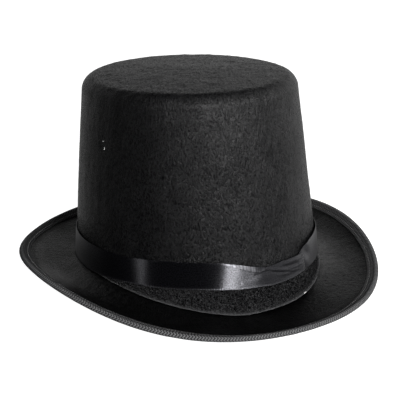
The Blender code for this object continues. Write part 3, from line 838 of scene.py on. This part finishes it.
def binding_tape():
    angles = turn(TAPE_STEPS)
    t = angles[:, None]
    phase = (t / TAU * TAPE_STITCHES) % 1.0
    pull = 0.5 + 0.5 * np.cos(TAU * phase)      # 1 at each stitch's needle hole
    rim = np.stack([np.cos(angles) * 150, np.sin(angles) * 150, 0 * angles], -1)
    hem = 0.12 * np.sin(TAU * phase) + 0.25 * noise(rim, 9, 31)[:, None]

    def bell(d, middle, width):
        return np.exp(-((d - middle) / width) ** 2)

    def lift(d):
        """Height of the tape's outer face over the brim's middle, d mm in from the edge."""
        puff = 0.40 * bell(d, 0.6, 1.1) + 0.22 * bell(d, 3.2, 0.6) + 0.20 * bell(d, 5.6, 0.7)
        groove = 0.34 * bell(d, TAPE_SEAM, 0.42) * (0.6 + 0.4 * pull) + 0.20 * bell(d, 2.2, 0.35)
        return TAPE_NEAR + TAPE_THICK + puff - groove

    def leg_rows(sign):
        return [brim_point(t, from_edge(d + hem * (d / TAPE_LEG) ** 3),
                           sign * (lift(d) - (0.3 if d > 6.7 else 0.0)))
                for d in TAPE_ROWS[::-1]]

    def arc(radius, degrees):
        return [brim_point(t, 1.0, radius * math.sin(k), radius * math.cos(k))
                for k in np.radians(degrees)]

    top = leg_rows(1)
    outer = top + arc(lift(0.0), range(72, -73, -18)) + leg_rows(-1)[::-1]
    inner = [brim_point(t, from_edge(d), -TAPE_NEAR - 0.02) for d in (6.7, 4.4, 2.0, 0.4)]
    inner += arc(TAPE_NEAR, [-60, -20, 20, 60])
    inner += [brim_point(t, from_edge(d), TAPE_NEAR + 0.02) for d in (0.4, 2.0, 4.4, 6.7)]
    outer = np.concatenate(outer, 1)
    outer[..., 2] += relief(outer, (0.07, 6.0, 33), (0.12, 22.0, 34)) * 0.8
    points = np.concatenate([outer] + inner, 1)
    # painted shade: the mask upper darkens the top leg's colour
    upper = np.zeros(points.shape[:2])          # the top leg is duller
    upper[:, :len(top)] = smooth(-0.3, 1.6, TAPE_ROWS[::-1])
    return grid("binding_tape", points, TAPE, masks={"upper": upper})


register(binding_tape(), "hat", "binding_tape", "edge_binding")


def binding_stitches(name, sign):
    """Stitches on the tape's top leg (sign 1) or under leg (sign -1)."""
    run = from_edge(TAPE_SEAM)
    lift = TAPE_NEAR + TAPE_THICK + 0.02
    return stitches(
        name, centre=lambda t: brim_point(t, run, sign * lift),
        across=lambda t: brim_point(t, run, 0, 1.0) - brim_point(t, run),
        normal=lambda t: (brim_point(t, run, 1.0) - brim_point(t, run)) * sign,
        count=TAPE_STITCHES, radius=0.24)


register(binding_stitches("binding_stitches_top", 1), "hat", "black_thread", "binding_top_thread")
register(binding_stitches("binding_stitches_under", -1), "hat", "black_thread",
         "binding_under_thread")

# ------------------------------------------------------------------ ribbon

# One length goes once round from its hidden start and laps over it. Angles are in degrees and run
# on past 360; LAP tables, for the outer layer, have 360 taken off. Heights and insets are in mm.
RIBBON_START, RIBBON_END = -13.0, 381.5
RIBBON_STEPS = 2300
RIBBON_THICK = 0.26
LAP_FROM = 300                  # the LAP tables hold from this angle on
MM_PER_DEG = 1.66

# angle, height of the top edge
TOP_START = [(-13, 26.5), (0, 27.2), (14, 28.6), (18, 30.3), (20.5, 32.9), (23.5, 35.2), (27, 36.5),
             (35, 37.5), (45, 38.0), (70, 37.4), (100, 37.1), (180, 37.1), (240, 37.2),
             (258, 37.1), (281, 36.7), (293, 36.6), (300, 37.3)]
TOP_LAP = [(-60, 37.3), (-45, 37.9), (-34, 37.5), (-27, 36.9), (-23, 36.2), (-20, 35.4),
           (-14, 33.4), (-10.8, 32.1), (-7.5, 30.9), (-3.5, 29.4), (0, 29.7), (6, 30.5),
           (12, 30.5), (18.5, 30.2), (21.5, 30.6)]
# angle, height of the bottom edge
BOTTOM_START = [(-13, 16.6), (10, 16.9), (25, 16.7), (38, 17.2), (60, 17.3), (90, 17.1),
                (230, 17.0), (263, 16.3), (280, 16.6), (300, 17.5)]
BOTTOM_LAP = [(-60, 17.5), (-45, 17.9), (-34, 18.1), (-25, 17.3), (-16, 16.5), (-6, 15.9),
              (0, 15.2), (12, 15.5), (21.5, 16.3)]
# angle, width of the top edge's fold, turned down outside
FLAP_LAP = [(-35, 0.0), (-31, 0.35), (-27, 0.75), (-22, 1.4), (-18, 2.1), (-13.8, 3.0),
            (-10.5, 3.6), (-7.6, 3.6), (-5.5, 2.3), (-3.8, 0.8), (-2.6, 0.0)]
# angle, distance out from the crown
BOTTOM_OUT_START = [(-13, 0.45), (18, 0.5), (30, 0.9), (45, 1.1), (70, 0.55), (225, 0.5),
                    (245, 1.1), (268, 0.9), (290, 0.5), (300, 0.5)]
TOP_OUT_START = [(-13, 0.45), (16, 0.6), (21, 1.5), (28, 2.2), (40, 1.9), (60, 0.8), (90, 0.5),
                 (225, 0.5), (240, 1.0), (262, 1.5), (280, 0.9), (300, 0.5)]
TOP_OUT_LAP = [(-32, 0.0), (-20, 0.35), (-8, 0.7), (0, 0.5), (12, 0.5), (21.5, 0.1)]
# ridges and grooves of the gathered end: (lap angle, height) of each end, amount, width
CREASES = [
    ((-4.5, 28.6), (10.5, 21.9), 0.75, 0.8),
    ((-1.0, 25.0), (13.0, 19.4), -0.85, 0.75),
    ((2.0, 21.0), (16.0, 20.6), 0.55, 0.9),
    ((3.0, 26.6), (17.0, 24.4), -0.6, 0.9),
    ((6.0, 28.6), (19.5, 27.4), 0.5, 1.1),
    ((5.0, 17.8), (18.5, 18.6), -0.45, 0.9),
    ((9.0, 22.8), (20.0, 22.8), 0.55, 0.7),
    ((-10.0, 25.5), (-1.0, 26.6), -0.35, 0.8),
    ((-16.0, 20.5), (0.0, 22.5), 0.25, 2.2),
]


def crease_relief(lap, height):
    total = np.zeros_like(height)
    for (angle0, height0), (angle1, height1), amount, width in CREASES:
        x, y = (lap - angle0) * MM_PER_DEG, height - height0
        end_x, end_y = (angle1 - angle0) * MM_PER_DEG, height1 - height0
        share = np.clip((x * end_x + y * end_y) / (end_x * end_x + end_y * end_y), 0, 1)
        distance = np.hypot(x - share * end_x, y - share * end_y)
        total += amount * np.sin(share * math.pi) ** 0.6 * np.exp(-(distance / width) ** 2)
    return total


def satin_ribbon():
    phi = np.linspace(RIBBON_START, RIBBON_END, RIBBON_STEPS)[:, None]
    t = phi * DEG
    lap = phi - 360.0
    lapped = phi >= LAP_FROM
    outer_layer = smooth(300, 335, phi)
    top = np.where(lapped, curve(lap, TOP_LAP), curve(phi, TOP_START))
    bottom = np.where(lapped, curve(lap, BOTTOM_LAP), curve(phi, BOTTOM_START))
    flap = np.where(lapped, curve(lap, FLAP_LAP), 0.0)
    bottom_out = np.where(lapped, 0.5 + 0.75 * outer_layer, curve(phi, BOTTOM_OUT_START))
    top_out = np.where(lapped, 0.5 + 0.7 * outer_layer + curve(lap, TOP_OUT_LAP),
                       curve(phi, TOP_OUT_START))

    # the cloth up the wall: height and distance out
    share = np.concatenate([[0, 0.018, 0.045, 0.08], np.linspace(0.12, 0.88, 22),
                            [0.92, 0.955, 0.982, 1.0]])
    face_h = bottom + (top - bottom) * share
    face_out = bottom_out + (top_out - bottom_out) * smooth(0, 1, share)
    creases = np.where(phi > LAP_FROM, crease_relief(lap, face_h), 0)
    # the start puckers where it comes out from under the lapped end
    past = phi - 24.5
    pucker = (0.55 * np.exp(-(past / 3.2) ** 2) * smooth(18, 22, phi)
              * np.sin((face_h - 17) / 20 * math.pi * 2.6 + past * 0.25))
    pucker = np.where(phi < 120, pucker, 0)
    drum = on_drum(t, face_h)
    gathered = np.where(phi > LAP_FROM, smooth(-9, 2, lap), 0)
    ease = (relief(drum, (0.16, (26, 26, 34), 41), (0.05, (9, 9, 20), 42))
            + gathered * 0.16 * noise(drum, (5, 5, 4), 43))
    face_out = np.maximum(face_out + creases * 0.8 + pucker + ease, 0.33)
    clear = np.where(phi > LAP_FROM, 0.33 + 0.62 * outer_layer, 0.33)
    face_out = np.maximum(face_out, clear)

    # the fold: round the crest and down outside, clear of the cloth beneath
    radius = np.minimum(0.26, flap / 6)
    bends = np.linspace(0, math.pi, 6)[1:]
    fold_h = top + radius * np.sin(bends)
    fold_out = face_out[:, -1:] + radius * (1 - np.cos(bends))
    down = np.array([0.12, 0.3, 0.5, 0.7, 0.86, 0.95, 1.0])
    flap_h = top - flap * down
    belly = 0.35 * np.minimum(flap / 2.5, 1.0) * np.sin(down * math.pi * 0.5)
    flap_out = face_out[:, -1:] + 2 * radius + belly
    under = np.stack([np.interp(*rows) for rows in zip(flap_h, face_h, face_out)])
    flap_out = np.maximum(flap_out, under + np.minimum(flap / 2.0, 1.0) * 0.45)
    height = np.concatenate([face_h, fold_h, flap_h], 1)
    out = np.concatenate([face_out, fold_out, flap_out], 1)

    # thickness, with the woven beads of the selvedges
    step_h, step_out = np.gradient(height, axis=1), np.gradient(out, axis=1)
    length = np.maximum(np.hypot(step_h, step_out), 1e-6)
    normal_h, normal_out = -step_out / length, step_h / length
    folded = slice(len(share), None)
    no_flap = flap < 0.02
    normal_h[:, folded] = np.where(no_flap, 0.0, normal_h[:, folded])
    normal_out[:, folded] = np.where(no_flap, 1.0, normal_out[:, folded])
    rows = height.shape[1]
    bottom_edge = np.exp(-((height - bottom) / 0.7) ** 2)
    flap_edge = np.exp(-np.abs((rows - 1) - np.arange(rows)) / 2.5) * (flap > 0.2)
    selvedge = np.clip(bottom_edge + flap_edge, 0, 1)
    bead = (0.5 + 0.5 * np.cos(TAU * phi * MM_PER_DEG / 1.9)) ** 2
    half = RIBBON_THICK / 2
    swollen = half * (1 + selvedge * (0.2 + 1.3 * bead))
    front = crown_point(t, height + normal_h * swollen, -(out + normal_out * swollen))
    back = crown_point(t, height - normal_h * half, -(out - normal_out * half))
    shown = selvedge * bead
    return grid("satin_ribbon", np.concatenate([front, back[:, ::-1]], 1), SATIN, capped=True,
                masks={"selvedge": np.concatenate([shown, shown[:, ::-1]], 1)})


register(satin_ribbon(), "ribbon", "ribbon_satin", "ribbon_loop", "ribbon_lap")


def ribbon_tack():
    """A few hand stitches that hold the ribbon's end."""
    share = np.linspace(0, 1, 7)
    tubes = []
    for i in range(5):
        t = (19.6 + 0.35 * math.sin(i * 2.1)) * DEG + share * 1.7 * DEG
        path = crown_point(t, 19.0 + i * 2.2 + share * 0.8, -(2.0 + 0.25 * np.sin(share * math.pi)))
        forward = unit(np.gradient(path, axis=0))
        out = level_out(path)
        tubes.append((path, np.cross(forward, out), out, 0.17 * (0.4 + 0.6 * arch(7))))
    return threads("ribbon_tack_stitches", tubes, COTTON)


register(ribbon_tack(), "ribbon", "black_thread", "ribbon_tack")

# ------------------------------------------------------------------ sweatband


def sweatband_cloth():
    """The band, folded outward at its foot into a hook section."""
    t = turn(720)[:, None]
    centre = wall_point(t, HOOK_ABOVE, HOOK_INSET)
    hook_out = level_out(centre)

    def hook(radius, degrees):
        return [centre + (hook_out * math.cos(k) + UP * math.sin(k)) * radius
                for k in map(math.radians, degrees)]

    rows = [wall_point(t, 27.0, BAND_IN), wall_point(t, 27.15, BAND_OUT + 0.3)]
    rows += [wall_point(t, z, BAND_OUT) for z in (26.8, 20.0, 10.0, 3.0)]
    rows += hook(HOOK_RADIUS + BAND_CLOTH, (0, -30, -60, -90, -120, -150, -180, -205, -225))
    rows += hook(HOOK_RADIUS, (-225, -180, -120, -60, 0))
    inner_z = np.concatenate([[3.0, 3.8, 4.3, 4.6, 4.9, 5.4], np.linspace(6.5, 26.4, 16)])
    rows += [wall_point(t, z, BAND_IN) for z in inner_z]
    points = np.concatenate(rows, 1)

    inner_face = np.zeros(points.shape[1])
    inner_face[-len(inner_z):] = 1
    groove = np.zeros(points.shape[1])
    groove[-len(inner_z):] = 0.12 * np.exp(-((inner_z - BAND_SEAM) / 0.5) ** 2)
    ribs = 0.05 * np.cos(360 * t)
    soft = (0.22 * noise(points, (24, 24, 40), 51) * inner_face
            * smooth(2, 9, points[..., 2] - root_z(t)))
    inward = ribs * inner_face + groove + np.minimum(soft, 0.2)
    return grid("sweatband_cloth", points - level_out(points) * inward[..., None], BAND)


def sweatband_joint():
    """A zigzag up the sweatband's inner face, beside its middle back."""
    joint, swing = math.pi + 0.30, 3.0 / 2 / FOOT_WIDTH
    i = np.arange(17)
    corners = wall_point(joint + np.where(i % 2, swing, -swing), 6.6 + 19.0 * i / 16,
                         BAND_IN + 0.32)
    share = np.linspace(0.06, 0.94, 6)[:, None]
    tubes = []
    for start, end in zip(corners, corners[1:]):
        inward = -level_out(start)
        path = start + (end - start) * share + inward * ((arch(6) - 1) * 0.28)[:, None]
        across = np.cross(unit(end - start), inward)
        tubes.append((path, across, inward, 0.17 * (0.45 + 0.55 * arch(6))))
    return threads("sweatband_joint_stitches", tubes, COTTON)


register(sweatband_cloth(), "hat", "sweatband_cloth", "sweatband")
register(stitches("sweatband_stitches", centre=lambda t: wall_point(t, BAND_SEAM, BAND_IN + 0.25),
                  across=lambda t: UP,
                  normal=lambda t: -level_out(wall_point(t, BAND_SEAM, BAND_IN)),
                  count=210, radius=0.2),
         "hat", "black_thread", "sweatband_thread")
register(sweatband_joint(), "hat", "black_thread", "sweatband_joint_thread")

# ------------------------------------------------------------------ linings


def side_lining():
    t = turn(360)[:, None]
    low = height_at(t, 12.5)
    share = np.linspace(0, 1, 40)
    height = low + (LINING_TOP - low) * share
    folds = 0.5 + relief(on_drum(t, height), (0.7, (13, 13, 60), 61), (0.3, (6, 6, 28), 62))
    sag = np.clip(folds, 0, 2) * np.sin(math.pi * share) ** 0.5 * 1.1
    inner = crown_point(t, height, LINING_IN + sag)
    outer = crown_point(t, height, LINING_OUT + sag * 0.9)
    points = np.concatenate([inner, outer[:, ::-1]], 1)
    return grid("side_lining_cloth", points, LINING, masks={"selvedge": np.zeros(points.shape[:2])})


def tip_lining():
    t = turn(300)[:, None]
    length, width = half_sizes(LINING_TOP, LINING_OUT + 0.6)
    edge, dome, thick = LINING_TOP + 0.4, 4.9, 0.5

    def row(share, lift=0.0):
        x, y = width * share * np.sin(t), -length * share * np.cos(t)
        uneven = noise(np.stack([x, y, 0 * x], -1), 22, 63)
        pucker = (0.18 * np.cos(t * 60) * np.exp(-(1 - share) / 0.06)
                  + 0.35 * uneven * smooth(1.0, 0.8, share))
        return lean(x, y, edge + lift + dome * (1 - share ** 4) + pucker)

    upper = [row(share, thick) for share in np.linspace(0.05, 1.0, 26)]
    lower = [row(share) for share in np.linspace(1.0, 0.05, 26)]
    points = np.concatenate(upper + lower, 1)
    poles = (lean(0.0, 0.0, edge + dome + thick), lean(0.0, 0.0, edge + dome))
    return grid("tip_lining_cloth", points, LINING, poles=poles,
                masks={"selvedge": np.zeros(points.shape[:2])})


register(side_lining(), "hat", "lining_satin", "side_lining")
register(tip_lining(), "hat", "lining_satin", "tip_lining")
register(stitches("lining_seam_stitches",
                  centre=lambda t: crown_point(t, LINING_TOP + 0.1, LINING_IN + 0.45),
                  across=lambda t: UP,
                  normal=lambda t: -np.stack([np.sin(t), -np.cos(t), 0 * t], -1),
                  count=160, radius=0.18),
         "hat", "black_thread", "lining_seam_thread")

# ------------------------------------------------------------------ label


def blank_label():
    """A tape label at the back of the sweatband: soft curl, thin edges, a hemmed end."""
    hinge = wall_point(math.pi, 5.8, BAND_IN + 2.0)
    along = unit(wall_point(math.pi, 25.0, BAND_IN + 2.0) - hinge)
    across = np.array([1.0, 0, 0])
    normal = unit(np.cross(across, along))
    x, z = np.meshgrid(np.linspace(-10, 10, 40), 0.4 + np.linspace(0, 34, 60), indexing="ij")
    curl = (0.35 * np.cos(x / 10 * 1.6) + 0.25 * np.sin(z / 34 * math.pi)
            + 0.10 * noise(np.stack([x, z, 0 * x], -1), 7, 71))
    hem = 0.22 * smooth(30.2, 31.0, z) + 0.10 * np.exp(-((np.abs(x) - 9.4) / 0.4) ** 2)
    rim = np.minimum(smooth(0, 0.5, 10.01 - np.abs(x)), smooth(0, 0.5, 34.41 - z))
    half = (0.22 + hem * 0.5) * (0.35 + 0.65 * rim)
    base = hinge + x[..., None] * across + z[..., None] * along
    front = base - normal * (curl * 0.6 + half)[..., None]
    back = base - normal * (curl * 0.6 - half)[..., None]
    return grid("blank_label", np.concatenate([front, back[:, ::-1]], 1), LABEL, capped=True)


register(blank_label(), "label", "label_cloth", "care_label")

# ------------------------------------------------------------------ lint

# fibres on the crown: angle in degrees, height, length, turn in radians
CROWN_LINT = [(-83.3, 117.9, 1.3, 0.7), (-82.5, 112.6, 2.3, 1.9), (150.0, 88.0, 1.8, 2.4)]


def lint_fibres():
    """A few pale fibres caught on the felt: three on the crown, one in front near the brim's root."""
    ring = np.arange(8)
    share = np.linspace(-0.5, 0.5, 8)
    bow = 0.7 * (share ** 2 - 0.25)
    paths = []
    for i, (degrees, height, length, turned) in enumerate(CROWN_LINT):
        around = share * math.cos(turned) - bow * math.sin(turned)
        rise = share * math.sin(turned) + bow * math.cos(turned)
        paths.append((crown_point(degrees * DEG + around * length / 92, height + rise * length,
                                  -(0.75 + 0.25 * np.sin(ring * 1.3 + i))), 0.17))
    low = (np.array([31.5, -100.75, 5.75]) + share[:, None] * np.array([3.5, 1.4, 0.1])
           + (0.25 - share ** 2)[:, None] * np.array([-0.5, -0.3, 1.1]))
    paths.append((low, 0.29))
    tubes = []
    for path, radius in paths:
        out = level_out(path)
        across = unit(np.cross(unit(np.gradient(path, axis=0)), out))
        tubes.append((path, across, out, radius * (1 - 0.4 * np.abs(ring - 3.5) / 3.5)))
    pale = cotton("pale_lint", dark=(0.45, 0.45, 0.45), light=(0.8, 0.8, 0.79))
    return threads("lint_fibres", tubes, pale, sides=5)


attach(lint_fibres(), "hat")

# CAD pieces that keep their shape
for node, material in (("edge_wire", STEEL), ("wire_ferrule", STEEL), ("sweatband_reed", REED)):
    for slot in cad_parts[node].material_slots:
        slot.material = material

# ------------------------------------------------------------------ camera (metres from here on)

scene = bpy.context.scene
scene.view_settings.view_transform = "Standard"
scene.view_settings.look = "None"
scene.view_settings.exposure = 0.0
scene.view_settings.gamma = 1.0


def direction(azimuth, elevation):
    """From the hat: azimuth from the front (-Y) towards the wearer's left (+X), in radians."""
    return Vector((math.sin(azimuth) * math.cos(elevation),
                   -math.cos(azimuth) * math.cos(elevation), math.sin(elevation)))


CAMERA_TARGET = Vector((0, 0, 0.070875))
CAMERA_DISTANCE = 0.90254
CAMERA_ROLL = math.radians(-0.5184)
TO_CAMERA = direction(math.radians(-32.655), math.radians(19.0614))
RIGHT = (-TO_CAMERA).cross(Vector((0, 0, 1))).normalized()


def add_camera():
    place = CAMERA_TARGET + TO_CAMERA * CAMERA_DISTANCE
    upright = RIGHT.cross(-TO_CAMERA)
    cos_roll, sin_roll = math.cos(CAMERA_ROLL), math.sin(CAMERA_ROLL)
    right = cos_roll * RIGHT + sin_roll * upright
    up = -sin_roll * RIGHT + cos_roll * upright
    data = bpy.data.cameras.new("camera")
    data.lens = 104.44104
    data.sensor_width = 36
    data.shift_x = 0.012135
    data.shift_y = -0.04848
    data.clip_start = 0.01
    camera = bpy.data.objects.new("camera", data)
    columns = (right, up, TO_CAMERA, place)
    camera.matrix_world = Matrix([[column[i] for column in columns] for i in range(3)]
                                 + [(0, 0, 0, 1)])
    scene.collection.objects.link(camera)
    scene.camera = camera


add_camera()

# ------------------------------------------------------------------ lights

LIGHT_FOCUS = Vector((0, 0, 0.07))
LIGHT_DISTANCE = 1.5
# name, azimuth and elevation in degrees, width, height, watts
LIGHTS = [
    ("key_softbox", -14.0, 20.0, 0.34, 0.8, 32.0),
    ("key_edge", 4.0, 24.0, 0.60, 1.0, 14.0),
    ("strip_light", -94.0, 12.0, 0.07, 0.8, 1.3),
    ("shoulder_softbox", 4.0, 41.0, 0.45, 0.5, 9.0),
    ("top_softbox", 55.0, 70.0, 0.6, 0.6, 7.0),
]

for name, azimuth, elevation, width, height, power in LIGHTS:
    data = bpy.data.lights.new(name, "AREA")
    data.shape = "RECTANGLE"
    data.size, data.size_y = width, height
    data.energy = power
    light = bpy.data.objects.new(name, data)
    offset = direction(math.radians(azimuth), math.radians(elevation)) * LIGHT_DISTANCE
    light.location = LIGHT_FOCUS + offset
    light.rotation_euler = offset.to_track_quat("Z", "Y").to_euler()
    scene.collection.objects.link(light)

# ------------------------------------------------------------------ world


def build_world():
    """Plain white to the camera; to other rays, a backdrop behind the hat and a glow at its right."""
    world = bpy.data.worlds.new("studio")
    scene.world = world
    world.use_nodes = True
    tree = world.node_tree
    ray = add_node(tree, "TexCoord", {}, "Generated")

    def dot(vector):
        return add_node(tree, "VectorMath", {0: ray, 1: vector}, "Value", operation="DOT_PRODUCT")

    def glow(value, span, to):
        values = range_values(value, span, to)
        return add_node(tree, "MapRange", values, interpolation_type="SMOOTHSTEP")

    def combine(operation, a, b):
        return add_node(tree, "Math", {0: a, 1: b}, operation=operation)

    def blend(share, a, b):
        # inputs 2 and 3 are the Mix node's numbers
        return add_node(tree, "Mix", {0: share, 2: a, 3: b}, data_type="FLOAT")

    away = dot(Vector((-TO_CAMERA.x, -TO_CAMERA.y, 0.0)).normalized())
    across = dot(RIGHT)
    height = add_node(tree, "SeparateXYZ", {0: ray}, 2)
    # the backdrop dims upward, and is uneven from side to side
    backdrop = combine("MULTIPLY", glow(away, (0.0, 0.9), to=(0.005, 0.58)),
                       glow(height, (0.27, 0.64), to=(1.0, 0.06)))
    sides = blend(glow(height, (-0.2, 0.1), to=(0.0, 1.0)),
                  glow(across, (-0.8, 0.1), to=(0.55, 1.0)),
                  glow(across, (-0.35, 0.35), to=(0.66, 1.3)))
    total = combine("ADD", combine("MULTIPLY", backdrop, sides),
                    glow(across, (0.35, 0.95), to=(0.0, 0.72)))
    # diffuse rays get half of it
    is_camera = add_node(tree, "LightPath", {}, "Is Camera Ray")
    is_diffuse = is_camera.output("Is Diffuse Ray")
    soft = combine("MULTIPLY", total, glow(is_diffuse, (0.0, 1.0), to=(1.0, 0.5)))
    feed(tree, tree.nodes["Background"].inputs,
         {"Strength": blend(is_camera, soft, 1.0), "Color": (1, 1, 1, 1)})


build_world()

# ------------------------------------------------------------------ floor


def build_floor():
    """A grey sheet just under the hat that glows white to the camera alone."""
    half = 6.0
    mesh = bpy.data.meshes.new("floor")
    corners = [(-half, -half, 0), (half, -half, 0), (half, half, 0), (-half, half, 0)]
    mesh.from_pydata(corners, [], [(0, 1, 2, 3)])
    floor = bpy.data.objects.new("floor", mesh)
    floor.location = (0, 0, -0.0006)
    scene.collection.objects.link(floor)
    k = Nodes("floor")
    is_camera = k.add("LightPath", {}, "Is Camera Ray")
    mesh.materials.append(k.finish({
        "Base Color": (0.35, 0.35, 0.35, 1),
        "Roughness": 1.0,
        "Specular IOR Level": 0.0,
        "Emission Color": (1, 1, 1, 1),
        "Emission Strength": k.add("Math", {0: is_camera, 1: 1.0}, operation="MULTIPLY"),
    }))
    floor.visible_glossy = False
    return floor


build_floor()
